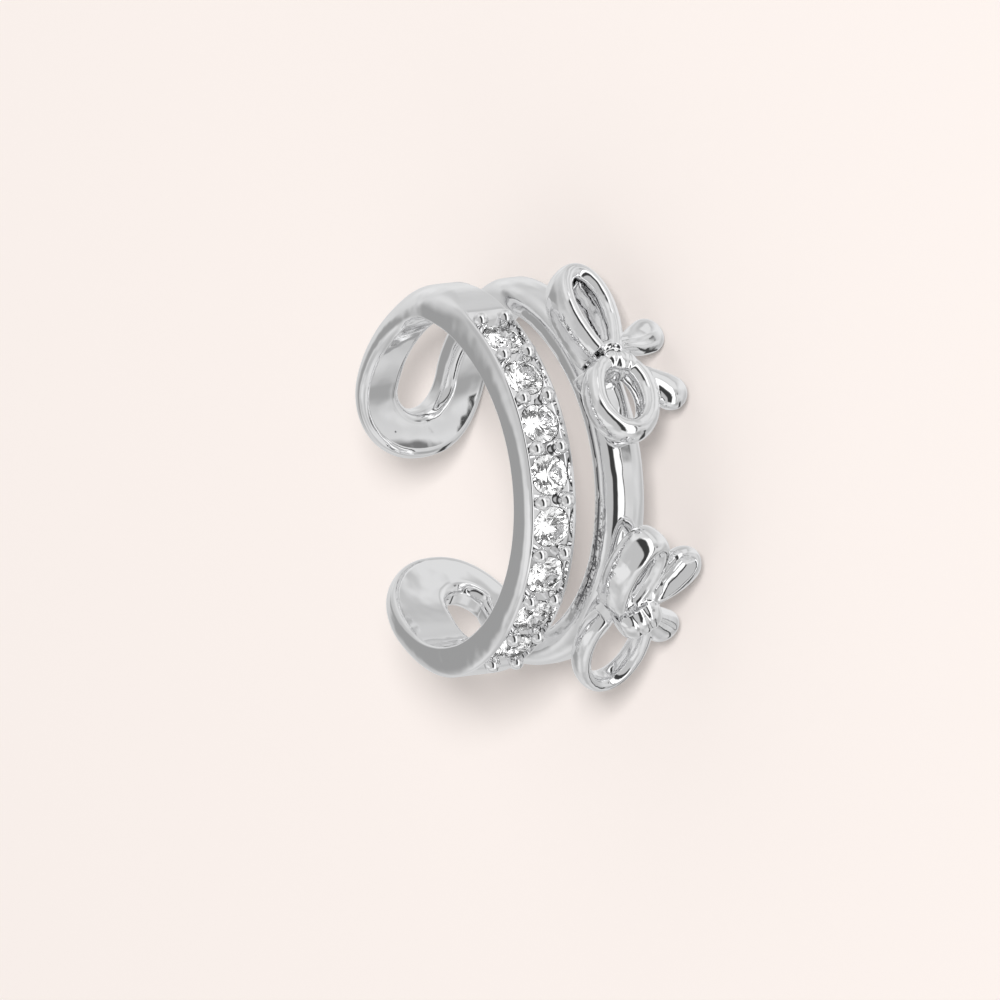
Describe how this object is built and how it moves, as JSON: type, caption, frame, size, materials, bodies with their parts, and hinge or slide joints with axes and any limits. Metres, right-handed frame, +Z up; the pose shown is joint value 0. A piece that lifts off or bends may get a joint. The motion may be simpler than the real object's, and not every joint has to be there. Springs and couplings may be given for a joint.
{
  "type": "ear cuff",
  "caption": "Open C-shaped double-band ear cuff with a row of round clear stones on one band and small wire bows on the other.",
  "frame": {"origin": "centre of the bounding box in plan, at the bottom, where the cuff rests", "axes": "+Z up, the way the cuff lies on its side with the stone band uppermost; +X roughly to the front of the C, +Y roughly up the C as the picture shows it"},
  "size_m": [0.0132, 0.0132, 0.0063],
  "materials": {
    "silver": "mirror polish",
    "stone": "clear, cut"
  },
  "bodies": {
    "root": {"cuff_frame": "silver", "stone_1": "stone", "stone_2": "stone", "stone_3": "stone", "stone_4": "stone", "stone_5": "stone", "stone_6": "stone", "stone_7": "stone", "stone_8": "stone"}
  },
  "joints": []
}
